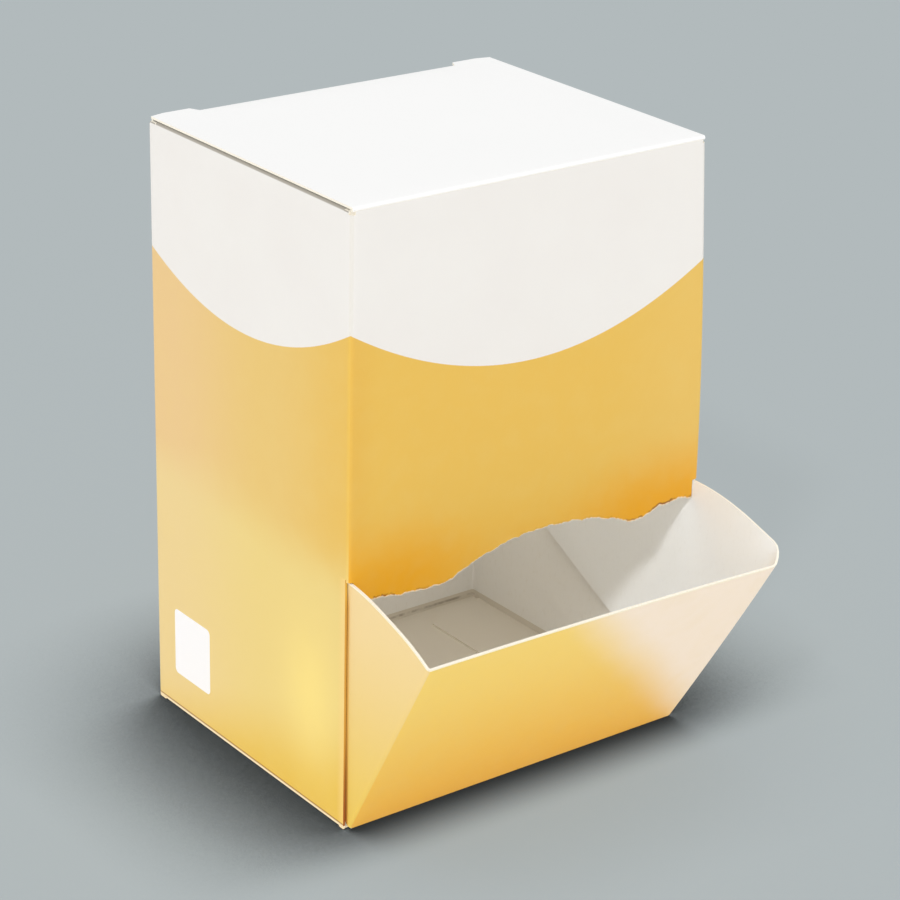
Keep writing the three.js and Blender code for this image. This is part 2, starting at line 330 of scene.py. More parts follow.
def make_carton(materials):
    """The folded sheet: four walls, the torn mouth, and the flaps of the side panels."""
    sheet = Sheet()
    wall_top = FLAP_FACE - FOLD
    wall_bottom = BOARD + BOTTOM_FOLD
    near, far = CORNER, DEPTH - CORNER
    tongue_end = unbowed(SLOT_RIGHT, SLOT_TOP)
    front_x = wall_columns(CORNER, WIDTH - CORNER, RIM_STEP, (SLOT_LEFT, tongue_end))
    flap_end = DEPTH - FLAP_BACK
    marks = (FLAP_FRONT, FLAP_FRONT + FLAP_CORNER, flap_end - FLAP_CORNER, flap_end)
    side_y = wall_columns(near, far, FINE_STEP, marks)
    back_x = wall_columns(CORNER, WIDTH - CORNER, COARSE_STEP, (WIDTH / 2,))
    front = [(x, 0.0) for x in front_x]
    right = [(WIDTH, y) for y in side_y]
    back = [(x, DEPTH) for x in back_x[::-1]]
    left = [(0.0, y) for y in side_y[::-1]]
    corners = ((WIDTH - CORNER, near), (WIDTH - CORNER, far), (CORNER, far), (CORNER, near))
    turns = [
        arc(centre, CORNER, start, start + 90)[1:-1].tolist()
        for centre, start in zip(corners, (-90, 0, 90, 180))
    ]
    around = right + turns[1] + back + turns[2] + left
    loop = front + turns[0] + around + turns[3]
    sheet.grid(wall_grid(loop + loop[:1], wall_columns(SLOT_TOP, wall_top, WALL_STEP)))
    sheet.grid(wall_grid(around, wall_columns(wall_bottom, SLOT_TOP, WALL_STEP)))
    add_tongue(sheet, front_x, tongue_end)

    # Beside the left wing the front panel's corner reaches down to the wing's top.
    notch = turns[3] + [(x, 0.0) for x in front_x[front_x <= SLOT_LEFT + NEARLY]]
    sheet.grid(wall_grid(notch, [SLOT_TOP_LEFT, SLOT_TOP]))

    # The front and back panels reach past the side panels' folds, and so do the side panels' ends.
    sheet.grid(wall_grid(front, [wall_top, FRONT_TOP]))
    sheet.grid(wall_grid(back, [wall_top, BACK_TOP]))
    sheet.grid(wall_grid(turns[1] + back + turns[2], [PANEL_FOOT, wall_bottom]))
    ends = (side_y[side_y <= FLAP_FRONT], side_y[side_y >= flap_end])
    for low, high in ((PANEL_FOOT, wall_bottom), (wall_top, FLAP_FACE - FOLD_END_GAP)):
        for end in ends:
            sheet.grid(wall_grid([(WIDTH, y) for y in end], [low, high]))
            sheet.grid(wall_grid([(0.0, y) for y in end[::-1]], [low, high]))
    add_side_flaps(sheet, side_y)
    return sheet.build("carton_sheet", materials)


def make_bottom(materials):
    """The bottom panel, which shows as a raw edge under the side panels."""
    sheet = Sheet()
    xs = wall_columns(LID_SIDE, WIDTH - LID_SIDE, BOTTOM_STEP)
    ys = wall_columns(2 * BOARD + GAP, DEPTH - GAP, BOTTOM_STEP)
    rows = np.zeros((len(ys), len(xs), 3))
    rows[..., 0] = xs[None]
    rows[..., 1] = ys[:, None]
    sheet.grid(rows, flip=True)
    return sheet.build("bottom_panel", materials)


def make_seam(materials):
    """The glued seam flap inside the left panel."""
    sheet = Sheet()
    ys = np.linspace(DEPTH - BOARD - SEAM_WIDTH, DEPTH - BOARD - SEAM_GAP, 8)
    taper = SEAM_TAPER * (1 - smooth_step(ys, ys[0], ys[0] + SEAM_WIDTH * SEAM_TAPER_SHARE))
    low, high = SEAM_INSET + taper, HEIGHT - 2 * SEAM_INSET - taper
    share = np.linspace(0, 1, 9)
    rows = np.zeros((len(share), len(ys), 3))
    rows[..., 0] = BOARD
    rows[..., 1] = ys[None]
    rows[..., 2] = low[None] + (high - low)[None] * share[:, None]
    sheet.grid(rows, flip=True)
    return sheet.build("seam_flap", materials)


def make_lid(materials):
    """The lid: its bead in the front crease, the top, two shoulders and the tuck flap."""
    sheet = Sheet()
    fold_y = DEPTH - TUCK_INSET - FOLD
    fold_z = HEIGHT - FOLD
    end_z = HEIGHT - TUCK_LENGTH
    slit = LID_SIDE + SHOULDER
    inner = slit + SHOULDER_SLOPE
    slits = (slit, inner, WIDTH - inner, WIDTH - slit)
    xs = wall_columns(LID_SIDE, WIDTH - LID_SIDE, WALL_STEP, slits)
    bead = arc((BOARD, HEIGHT - BOARD), BOARD, BEAD_START, 90, 12)
    ys = wall_columns(BOARD, fold_y, COARSE_STEP)
    path = [*bead.tolist(), *[(y, HEIGHT) for y in ys[1:]]]
    sheet.grid([[(x, y, z) for x in xs] for y, z in path])
    fold = arc((fold_y, fold_z), FOLD, 90, 0)
    slope = math.tan(TUCK_LEAN)
    drops = np.linspace(0, 1, 8)[1:]
    tuck = [(fold_y + FOLD - slope * (fold_z - end_z) * t, fold_z + (end_z - fold_z) * t)
            for t in drops]
    middle_x = xs[(xs >= inner - NEARLY) & (xs <= WIDTH - inner + NEARLY)]
    sheet.grid([[(x, y, z) for x in middle_x] for y, z in [*fold.tolist(), *tuck]])

    # A shoulder beside each slit, and below it the end of the tuck flap with a round corner.
    side_x = xs[xs <= inner + NEARLY]
    shoulder_end = np.where(side_x <= slit + NEARLY, DEPTH, fold_y + SLIT_START)
    shoulder_end = np.where(side_x <= LID_SIDE + NEARLY, DEPTH - SHOULDER_CUT, shoulder_end)
    share = np.linspace(0, 1, 4)
    end_x = np.linspace(TUCK_SIDE, inner, 12)
    inset = np.clip(TUCK_SIDE + TUCK_CORNER - end_x, 0, TUCK_CORNER)
    lift = TUCK_CORNER - np.sqrt(TUCK_CORNER**2 - inset**2)
    for side in (1, -1):
        shoulder = np.zeros((len(share), len(side_x), 3))
        shoulder[..., 0] = side_x[None]
        shoulder[..., 1] = fold_y + (shoulder_end - fold_y)[None] * share[:, None]
        shoulder[..., 2] = HEIGHT
        ears = np.zeros((len(drops) + 1, len(end_x), 3))
        down = np.concatenate([[EAR_START], drops])[:, None] * (fold_z - end_z - lift)[None]
        ears[..., 0] = end_x[None]
        ears[..., 1] = fold_y + FOLD - slope * down
        ears[..., 2] = fold_z - down
        for part in (shoulder, ears):
            if side < 0:
                part[..., 0] = WIDTH - part[..., 0]
            sheet.grid(part, flip=side < 0)
    return sheet.build("lid_sheet", materials)


def leaned(points):
    """Turns the chute out about the front bottom crease, a little further at its right end."""
    y, z = points[:, 1], points[:, 2]
    lean = LEAN + FLAP_TWIST * np.clip(points[:, 0] / WIDTH, 0, 1) ** 2
    moved = points.copy()
    moved[:, 1] = BOARD + y * np.cos(lean) - z * np.sin(lean)
    moved[:, 2] = BOARD + y * np.sin(lean) + z * np.cos(lean)
    return moved


def flared(points):
    """Moves the right half of the chute outwards, to follow the bowed side panel."""
    y, z = points[..., 1], points[..., 2]
    rise = np.clip(z - WING_FLARE_FALL * y, 0, None) / WING_RADIUS
    angle = np.degrees(np.arctan2(y, np.maximum(z, 1e-6)))
    bulge = np.interp(angle, *zip(*WING_BULGE)) * (np.hypot(y, z) / WING_RADIUS) ** 2
    spread = FOOT_SPREAD * (1 - rise) * (1 - smooth_step(y, *FOOT_SPREAD_ENDS))
    out = spread + WING_FLARE * (1 - np.clip(1 - rise, 0, None) ** WING_FLARE_POWER) + bulge
    moved = points.copy()
    moved[..., 0] += out * (points[..., 0] > WIDTH / 2)
    return moved


def wing_shape(radii, angles, foot_y, levels):
    """A wing's points from its foot line to its curved top, with their way to the top edge."""
    tip_y, tip_z = radii * np.sin(angles), radii * np.cos(angles)
    foot_z = WING_FOOT - WING_FOOT_FALL * foot_y
    foot_z = HEEL_LOW + (foot_z - HEEL_LOW) * smooth_step(foot_y, HEEL_START, WING_HEEL)
    wing = np.zeros((len(levels), len(angles), 3))
    wing[..., 1] = foot_y[None] + (tip_y - foot_y)[None] * levels[:, None]
    wing[..., 2] = foot_z[None] + (tip_z - foot_z)[None] * levels[:, None]
    length = np.hypot(tip_y - foot_y, tip_z - foot_z)
    return wing, length[None] * (1 - levels[:, None])


def make_chute(materials):
    """The front flap and its two wings, one sheet with round folds between them."""
    sheet = Sheet()
    left, right = BOARD + GAP, WIDTH - BOARD - GAP
    levels = 1 - np.linspace(1, 0, 34) ** 1.5
    xs = wall_columns(left + WING_FOLD, right - WING_FOLD, FINE_STEP)
    heights = levels * FLAP_HEIGHT
    face = np.zeros((len(levels), len(xs), 3))
    face[..., 0] = xs[None]
    face[..., 1] = -BOARD
    face[..., 2] = heights[:, None]
    bead = arc((0, 0), BOARD, 305, 180, 8)[:-1]
    wrap = np.array([[(x, y, z) for x in xs] for y, z in bead])
    to_edge = FLAP_HEIGHT - np.concatenate([wrap[..., 2], face[..., 2]])
    sheet.grid(flared(np.concatenate([wrap, face])), edge_way=to_edge)

    # Each wing runs back from its fold. Its top is a curve about the crease.
    back = np.linspace(0, 1, 44) ** 1.25
    fold_y = WING_FOLD - BOARD
    foot_y = fold_y + (WING_RADIUS - WING_END_GAP - fold_y) * back
    fold_angle = math.asin(fold_y / FLAP_HEIGHT)
    angles = fold_angle + (WING_END - fold_angle) * back
    turn = arc((left + WING_FOLD, -BOARD + WING_FOLD), WING_FOLD, 270, 180)
    ease = np.linspace(0, 1, len(turn))[None]
    for rightwards, (radius, start, end) in ((False, LEFT_TOP), (True, RIGHT_TOP)):
        radii = FLAP_HEIGHT + (radius - FLAP_HEIGHT) * smooth_step(np.degrees(angles), start, end)
        wing, way = wing_shape(radii, angles, foot_y, levels)
        fold = np.zeros((len(levels), len(turn), 3))
        fold[..., 0] = turn[None, :, 0]
        fold[..., 1] = turn[None, :, 1]
        fold[..., 2] = heights[:, None] * (1 - ease) + wing[:, :1, 2] * ease
        wing[..., 0] = left
        fold_way = FLAP_HEIGHT - fold[..., 2]
        for part, part_way in ((fold, np.clip(fold_way, 0, None)), (wing, way)):
            if rightwards:
                mirrored = part * (-1, 1, 1) + (WIDTH, 0, 0)
                sheet.grid(flared(mirrored), edge_way=part_way)
            else:
                sheet.grid(part, edge_way=part_way, flip=True)
    return sheet.build("chute_sheet", materials, turn=leaned)


def srgb(red, green, blue):
    """An 8-bit screen colour as the linear colour that a shader takes."""
    values = [c / 255 for c in (red, green, blue)]
    linear = [c / 12.92 if c <= 0.04045 else ((c + 0.055) / 1.055) ** 2.4 for c in values]
    return (*linear, 1.0)


class Nodes:
    """A material's node tree, with short calls for arithmetic on its sockets."""

    def __init__(self, name, roughness):
        self.material = bpy.data.materials.new(name)
        self.material.use_nodes = True
        self.tree = self.material.node_tree
        self.shader = self.tree.nodes["Principled BSDF"]
        self.shader.inputs["Specular IOR Level"].default_value = SPECULAR
        self.roughness = roughness
        coordinates = self.tree.nodes.new("ShaderNodeTexCoord")
        self.metres = coordinates.outputs["Object"]
        split = self.tree.nodes.new("ShaderNodeSeparateXYZ")
        self.link(self.metres, split.inputs[0])
        self.x = self.math("MULTIPLY", split.outputs["X"], 1 / MM)
        self.y = self.math("MULTIPLY", split.outputs["Y"], 1 / MM)
        self.z = self.math("MULTIPLY", split.outputs["Z"], 1 / MM)

    def link(self, source, target):
        self.tree.links.new(source, target)

    def feed(self, socket, value):
        """Links a socket to another, or gives it a fixed value."""
        if isinstance(value, bpy.types.NodeSocket):
            self.link(value, socket)
        else:
            socket.default_value = value

    def math(self, operation, *values, clamp=False):
        """One step of arithmetic on sockets or numbers."""
        node = self.tree.nodes.new("ShaderNodeMath")
        node.operation = operation
        node.use_clamp = clamp
        for socket, value in zip(node.inputs, values):
            self.feed(socket, value)
        return node.outputs[0]

    def add(self, a, b):
        return self.math("ADD", a, b)

    def subtract(self, a, b):
        return self.math("SUBTRACT", a, b)

    def times(self, first, *others):
        """The product of two or more values."""
        product = first
        for other in others:
            product = self.math("MULTIPLY", product, other)
        return product

    def size(self, value):
        return self.math("ABSOLUTE", value)

    def less(self, a, b):
        """1 where a is less than b, otherwise 0."""
        return self.math("LESS_THAN", a, b)

    def ramp(self, value, low, high):
        """0 below low, 1 above high and smooth between them."""
        node = self.tree.nodes.new("ShaderNodeMapRange")
        node.interpolation_type = "SMOOTHSTEP"
        self.feed(node.inputs["Value"], value)
        self.feed(node.inputs["From Min"], low)
        self.feed(node.inputs["From Max"], high)
        return node.outputs["Result"]

    def fall(self, value, low, high):
        """1 below low, 0 above high and smooth between them."""
        return self.subtract(1.0, self.ramp(value, low, high))

    def mix(self, factor, a, b):
        """Colour a where the factor is 0 and colour b where it is 1."""
        node = self.tree.nodes.new("ShaderNodeMix")
        node.data_type = "RGBA"
        self.feed(node.inputs["Factor"], factor)
        self.feed(node.inputs["A"], a)
        self.feed(node.inputs["B"], b)
        return node.outputs["Result"]

    def noise(self, size, detail=3.0, roughness=0.55, stretch=(1, 1, 1)):
        """Noise whose blobs are about size millimetres across, stretched along the axes."""
        scale = self.tree.nodes.new("ShaderNodeVectorMath")
        scale.operation = "MULTIPLY"
        self.link(self.metres, scale.inputs[0])
        scale.inputs[1].default_value = [1 / (size * MM * s) for s in stretch]
        node = self.tree.nodes.new("ShaderNodeTexNoise")
        self.link(scale.outputs[0], node.inputs["Vector"])
        node.inputs["Scale"].default_value = 1.0
        node.inputs["Detail"].default_value = detail
        node.inputs["Roughness"].default_value = roughness
        return node.outputs["Fac"]

    def waver(self, size, height, detail=3.0):
        """Noise about zero, with a spread of height."""
        return self.times(self.subtract(self.noise(size, detail), 0.5), height)

    def mottle(self, size):
        """Soft spots about size millimetres across."""
        return self.size(self.subtract(self.noise(size, detail=5), 0.5))

    def normal(self):
        """The surface's direction, as its X, Y and Z sockets."""
        geometry = self.tree.nodes.new("ShaderNodeNewGeometry")
        split = self.tree.nodes.new("ShaderNodeSeparateXYZ")
        self.link(geometry.outputs["Normal"], split.inputs[0])
        return split.outputs

    def attribute(self, name):
        """A value that is stored at the mesh's points."""
        node = self.tree.nodes.new("ShaderNodeAttribute")
        node.attribute_name = name
        return node.outputs["Fac"]

    def finish(self, colour, texture=None, relief=0.0):
        """Wires the colour, and a texture for the roughness and a relief in millimetres."""
        self.feed(self.shader.inputs["Base Color"], colour)
        if texture is None:
            self.shader.inputs["Roughness"].default_value = self.roughness
        else:
            spread = self.times(self.subtract(texture, 0.5), ROUGHNESS_SPREAD)
            self.link(self.add(spread, self.roughness), self.shader.inputs["Roughness"])
            node = self.tree.nodes.new("ShaderNodeBump")
            node.inputs["Strength"].default_value = 1.0
            node.inputs["Distance"].default_value = relief * MM
            self.link(texture, node.inputs["Height"])
            self.link(node.outputs["Normal"], self.shader.inputs["Normal"])
        return self.material


# Colours, as they show on the screen. First the printed walls, with their painted highlights and
# shade.
WHITE_COAT = srgb(236, 232, 227)
PALER_COAT = srgb(240, 238, 233)
TURNED_COAT = srgb(228, 224, 216)
GOLD = srgb(232, 189, 84)
EDGE_GOLD = srgb(228, 178, 72)
DEEP_GOLD = srgb(238, 170, 26)
PALE_GOLD = srgb(234, 198, 136)
MID_GOLD = srgb(232, 196, 111)
LOW_GOLD = srgb(236, 210, 129)
LOW_BACK_GOLD = srgb(236, 209, 144)
FOOT_GOLD = srgb(232, 193, 74)
SIDE_HIGHLIGHT = srgb(251, 226, 132)
LIT_FOLD = srgb(252, 212, 132)
LID_SHADE = srgb(146, 138, 122)
FOOT_PALE = srgb(246, 224, 180)
FOOT_CREASE_SHADE = srgb(150, 96, 36)
LABEL_FIELD = srgb(250, 249, 250)
NICK = srgb(150, 92, 30)
TORN_EDGE = srgb(238, 220, 190)

# The lid's coat and the print on the chute, with the chute's painted sheen and shade.
LID_COAT = srgb(253, 253, 252)
LID_COAT_DIM = srgb(251, 251, 250)
FLAP_HIGH = srgb(250, 217, 110)
FLAP_LOW = srgb(240, 186, 56)
WING_HIGH = srgb(243, 216, 158)
WING_LOW = srgb(236, 201, 85)
SHEEN_CREAM = srgb(252, 237, 218)
WING_GROOVE_SHADE_HIGH = srgb(226, 172, 80)
WING_GROOVE_SHADE_LOW = srgb(170, 88, 30)
MARGIN = srgb(252, 244, 220)

# Raw board, cut edges and the ground, with the painted shade and light on the board.
RAW_BOARD = srgb(251, 250, 247)
RAW_FIBRE = srgb(234, 230, 221)
# The chute's inside is a cooler, whiter copy of the raw board: painted light, so that its lit wing
# shows white.
LIT_CHUTE_BOARD = srgb(252, 254, 255)
LIT_CHUTE_FIBRE = srgb(238, 239, 238)
BOARD_CLOUD = srgb(242, 238, 230)
SHADED_BOTTOM_BOARD = srgb(228, 221, 208)
CREASE_SHADE = srgb(128, 112, 90)
CUT_EDGE = srgb(252, 247, 234)
CUT_PLY = srgb(240, 229, 205)
CUT_FOOT = srgb(247, 230, 196)
EDGE_GROOVE_SHADE_HIGH = srgb(216, 164, 72)
EDGE_GROOVE_SHADE_LOW = srgb(165, 92, 36)
BACKDROP = srgb(178, 186, 188)
CONTACT_SHADE = srgb(24, 26, 28)
FLOOR_BOUNCE = srgb(243, 243, 243)

# The print on the walls, in millimetres: the curves that part white from gold, and the label's field.
CURVE_CORNER = 132.4
CURVE_FRONT_LOW = 116.1
CURVE_SIDE_LOW = 119.9
CURVE_LEAN = 1.25
LABEL_Y = 27.2
LABEL_Z = 20.5
LABEL_HALF_WIDTH = 8.7
LABEL_HALF_HEIGHT = 9.6
LABEL_CORNER = 1.4
LABEL_SOFTNESS = 0.06

# The pale strip at the foot of the side panels, up to this height.
FOOT_STRIP = 1.15

# Relief of coated board, raw board and cut edges in millimetres, and the surfaces' gloss.
COAT_RELIEF = 0.012
RAW_RELIEF = 0.02
CUT_RELIEF = 0.04
WALL_ROUGHNESS = 0.42
SMOOTH_ROUGHNESS = 0.40
RAW_ROUGHNESS = 0.78
CUT_ROUGHNESS = 0.85
FLOOR_ROUGHNESS = 0.9
ROUGHNESS_SPREAD = 0.24
SPECULAR = 0.35


def board_texture(nodes):
    """The faint tooth of coated board, for bump and roughness."""
    fine = nodes.noise(0.5, detail=4)
    broad = nodes.noise(9.0, detail=2)
    return nodes.add(nodes.times(fine, 0.6), nodes.times(broad, 0.4))


def rounded_box(nodes, across, up, half_width, half_height, radius):
    """1 inside a rounded rectangle about the origin of two sockets, with a crisp edge."""
    over = []
    for way, half in ((across, half_width), (up, half_height)):
        past = nodes.subtract(nodes.size(way), half - radius)
        over.append(nodes.math("MAXIMUM", past, 0.0))
    squares = [nodes.times(way, way) for way in over]
    reach = nodes.math("SQRT", nodes.add(*squares))
    return nodes.fall(reach, radius - LABEL_SOFTNESS, radius + LABEL_SOFTNESS)


def print_line(nodes, across_front, across_side, on_side):
    """The height of the curve that parts white from gold, which leans a little around the box."""
    front_rise = CURVE_CORNER - CURVE_FRONT_LOW
    side_rise = CURVE_CORNER - CURVE_SIDE_LOW
    front_line = nodes.add(nodes.times(across_front, across_front, front_rise), CURVE_FRONT_LOW)
    side_line = nodes.add(nodes.times(across_side, across_side, side_rise), CURVE_SIDE_LOW)
    on_front = nodes.subtract(1.0, on_side)
    line = nodes.add(nodes.times(front_line, on_front), nodes.times(side_line, on_side))
    return nodes.add(line, nodes.times(across_front, across_side, CURVE_LEAN))


def front_print(nodes, across_front):
    """Gold that deepens towards the torn rim, most of all at both ends."""
    near_end = nodes.ramp(nodes.size(across_front), 0.1, 0.75)
    rim_reach = nodes.add(82.0, nodes.times(near_end, 7.0))
    near_rim = nodes.fall(nodes.z, 64.0, rim_reach)
    rim_share = nodes.add(0.32, nodes.times(near_end, 0.73))
    left_end = nodes.fall(nodes.x, -56.0, -44.0)
    right_end = nodes.ramp(nodes.x, 20.0, 56.0)
    gold = nodes.mix(nodes.times(left_end, 0.6), GOLD, EDGE_GOLD)
    gold = nodes.mix(nodes.times(right_end, 0.35), gold, MID_GOLD)
    rim_depth = nodes.times(near_rim, nodes.less(nodes.y, 0.0))
    deep = nodes.math("MULTIPLY", rim_depth, rim_share, clamp=True)
    return nodes.mix(deep, gold, DEEP_GOLD)


def side_print(nodes):
    """Gold that pales rearwards and below the middle, with a painted highlight low down near the
    front.
    """
    rearwards = nodes.ramp(nodes.y, -48.0, -10.0)
    far_back = nodes.ramp(nodes.y, -10.0, 36.0)
    upper = nodes.mix(far_back, nodes.mix(rearwards, GOLD, MID_GOLD), PALE_GOLD)
    lower = nodes.mix(far_back, LOW_GOLD, LOW_BACK_GOLD)
    wavy = nodes.waver(30.0, 16.0, detail=2)
    gold = nodes.mix(nodes.ramp(nodes.add(nodes.z, wavy), 62.0, 84.0), lower, upper)
    foot = nodes.fall(nodes.add(nodes.z, nodes.times(nodes.y, 0.3)), -4.0, 24.0)
    gold = nodes.mix(foot, gold, FOOT_GOLD)
    # A painted highlight: a soft pale spot low down near the front of the side panel.
    highlight_y = nodes.times(nodes.add(nodes.y, 29.0), 1 / 15.0)
    highlight_z = nodes.times(nodes.subtract(nodes.z, 32.0), 1 / 24.0)
    highlight_way = nodes.add(nodes.times(highlight_y, highlight_y), nodes.times(highlight_z, highlight_z))
    glow = nodes.math("EXPONENT", nodes.times(highlight_way, -1.6))
    return nodes.mix(nodes.times(glow, 0.85), gold, SIDE_HIGHLIGHT)


def fold_highlight_shade_and_strip(nodes, colour, on_side):
    """Painted light and shade along the side panels' edges: a highlight beside the wings, shade under
    the lid and a crease line at the foot, above a pale strip.
    """
    # The front edges catch the light beside the wings.
    beside_wing = nodes.fall(nodes.y, 1.6 - DEPTH / 2, 4.5 - DEPTH / 2)
    lit_edge = nodes.times(beside_wing, on_side, nodes.less(nodes.z, SLOT_TOP))
    colour = nodes.mix(nodes.times(lit_edge, 0.5), colour, LIT_FOLD)

    # Painted shade: the top folds are grey where they pass under the lid.
    at_side = nodes.ramp(nodes.size(nodes.x), WIDTH / 2 - 1.1, WIDTH / 2 - 0.9)
    under_lid = nodes.times(nodes.ramp(nodes.z, FLAP_FACE - 0.75, FLAP_FACE - 0.4), at_side)
    colour = nodes.mix(nodes.times(under_lid, on_side, 0.8), colour, LID_SHADE)

    # At the foot: a pale strip, and above it a brown line of painted crease shade.
    strip = nodes.times(nodes.less(nodes.z, FOOT_STRIP), on_side)
    foot_shade_line = nodes.fall(nodes.size(nodes.subtract(nodes.z, FOOT_STRIP + 0.15)), 0.1, 0.3)
    colour = nodes.mix(strip, colour, FOOT_PALE)
    return nodes.mix(nodes.times(foot_shade_line, on_side, 0.75), colour, FOOT_CREASE_SHADE)


def torn_print(nodes, colour, across_front):
    """Bare fibres along the tear, and a brown broken line of print above them near both ends."""
    from_middle = nodes.size(across_front)
    bareness = nodes.add(0.55, nodes.times(from_middle, 0.5))
    fray = nodes.add(nodes.times(nodes.noise(1.3, detail=6, roughness=0.65), bareness), -0.15)
    way = nodes.subtract(nodes.attribute("edge_way"), fray)
    bare = nodes.fall(way, -0.08, 0.08)
    burnt = nodes.fall(way, 0.1, 0.75)
    broken = nodes.ramp(nodes.noise(2.2, detail=4), 0.42, 0.58)
    ends = nodes.add(0.15, nodes.ramp(from_middle, 0.45, 0.85))
    colour = nodes.mix(nodes.times(burnt, broken, ends), colour, NICK)
    return nodes.mix(bare, colour, TORN_EDGE)


def printed_walls():
    """White coat above and gold below, parted by a sagging curve on each panel."""
    nodes = Nodes("printed_walls", WALL_ROUGHNESS)
    normal = nodes.normal()
    facing_x, facing_y = nodes.size(normal["X"]), nodes.size(normal["Y"])
    on_side = nodes.math("GREATER_THAN", facing_x, facing_y)
    across_front = nodes.times(nodes.x, 2 / WIDTH)
    across_side = nodes.times(nodes.y, 2 / DEPTH)
    line = print_line(nodes, across_front, across_side, on_side)
    above_line = nodes.add(nodes.subtract(nodes.z, line), nodes.waver(0.6, 0.12))
    below = nodes.fall(above_line, -0.12, 0.12)
    gold = nodes.mix(on_side, front_print(nodes, across_front), side_print(nodes))
    gold = nodes.mix(nodes.times(nodes.mottle(11.0), 0.5), gold, LOW_GOLD)
    white = nodes.mix(nodes.noise(20.0), WHITE_COAT, PALER_COAT)
    turning = nodes.ramp(nodes.math("MINIMUM", facing_x, facing_y), 0.15, 0.5)
    white = nodes.mix(nodes.times(turning, 0.8), white, TURNED_COAT)
    colour = fold_highlight_shade_and_strip(nodes, nodes.mix(below, white, gold), on_side)

    # A blank white field low on the left panel.
    left_side = nodes.less(normal["X"], -0.5)
    field = rounded_box(
        nodes, nodes.subtract(nodes.y, LABEL_Y), nodes.subtract(nodes.z, LABEL_Z),
        LABEL_HALF_WIDTH, LABEL_HALF_HEIGHT, LABEL_CORNER,
    )
    colour = nodes.mix(nodes.times(field, left_side), colour, LABEL_FIELD)
    colour = torn_print(nodes, colour, across_front)
    return nodes.finish(colour, board_texture(nodes), COAT_RELIEF)


def white_lid():
    """The lid's plain white coat."""
    nodes = Nodes("white_coat", SMOOTH_ROUGHNESS)
    colour = nodes.mix(nodes.noise(25.0), LID_COAT, LID_COAT_DIM)
    return nodes.finish(colour, board_texture(nodes), COAT_RELIEF)


def printed_chute():
    """Gold with a painted cream sheen towards the flap's upper right, and paler gold on the wings."""
    nodes = Nodes("printed_chute", SMOOTH_ROUGHNESS)
    height = nodes.times(nodes.z, 1 / math.cos(LEAN))
    # A painted sheen: the flap turns cream towards its upper right, past a wavering edge.
    sheen_edge = nodes.add(9.5, nodes.times(nodes.subtract(54.0, height), 0.91))
    past_edge = nodes.add(nodes.subtract(nodes.x, sheen_edge), nodes.waver(22.0, 6.0, detail=2))
    flap = nodes.mix(nodes.ramp(height, -12.0, 72.0), FLAP_LOW, FLAP_HIGH)
    flap = nodes.mix(nodes.ramp(past_edge, -13.0, 13.0), flap, SHEEN_CREAM)
    wing_rise = nodes.ramp(nodes.add(nodes.z, nodes.times(nodes.y, 0.2)), -14.0, 62.0)
    wing = nodes.mix(wing_rise, WING_LOW, WING_HIGH)
    on_left_wing = nodes.less(nodes.x, 1.6 - WIDTH / 2)
    on_right_wing = nodes.ramp(nodes.normal()["X"], 0.3, 0.8)
    colour = nodes.mix(nodes.add(on_left_wing, on_right_wing), flap, wing)
    colour = nodes.mix(nodes.times(nodes.mottle(12.0), 0.4), colour, LOW_GOLD)

    # Painted shade: the left wing is brown where it passes the side panel, for the shade in the
    # narrow gap, warmed by the gold on both sides.
    near_panel = nodes.ramp(nodes.y, 0.2 - DEPTH / 2, 1.0 - DEPTH / 2)
    groove_shade_mask = nodes.times(on_left_wing, near_panel, nodes.fall(nodes.z, 62.0, 68.0), 0.8)
    groove_shade_colour = nodes.mix(nodes.ramp(nodes.z, 4.0, 34.0), WING_GROOVE_SHADE_LOW, WING_GROOVE_SHADE_HIGH)
    colour = nodes.mix(groove_shade_mask, colour, groove_shade_colour)

    # The print stops just short of the cut edge.
    colour = nodes.mix(nodes.fall(nodes.attribute("edge_way"), 0.3, 0.6), colour, MARGIN)
    return nodes.finish(colour, board_texture(nodes), COAT_RELIEF)


def raw_board(name, colour, fibre):
    """The uncoated inner face: near white with short, faint fibres, and painted shade on the bottom
    and in the back crease.
    """
    nodes = Nodes(name, RAW_ROUGHNESS)
    fibres = nodes.noise(0.9, detail=6, roughness=0.7, stretch=(1, 1, 2.5))
    colour = nodes.mix(nodes.times(nodes.ramp(fibres, 0.5, 0.8), 0.5), colour, fibre)
    colour = nodes.mix(nodes.times(nodes.noise(16.0, detail=4), 0.2), colour, BOARD_CLOUD)
    # Painted shade: the board is darker on the bottom, below 3 mm.
    colour = nodes.mix(nodes.less(nodes.z, 3.0), colour, SHADED_BOTTOM_BOARD)

    # Painted shade: a dark, broken line in the crease where the back panel meets the bottom.
    far_back = nodes.math("GREATER_THAN", nodes.y, DEPTH / 2 - 1.5)
    crease = nodes.fall(nodes.size(nodes.subtract(nodes.z, 1.6)), 0.1, 0.6)
    broken = nodes.ramp(nodes.noise(3.0, detail=4), 0.3, 0.65)
    colour = nodes.mix(nodes.times(crease, far_back, broken, 0.6), colour, CREASE_SHADE)
    return nodes.finish(colour, fibres, RAW_RELIEF)


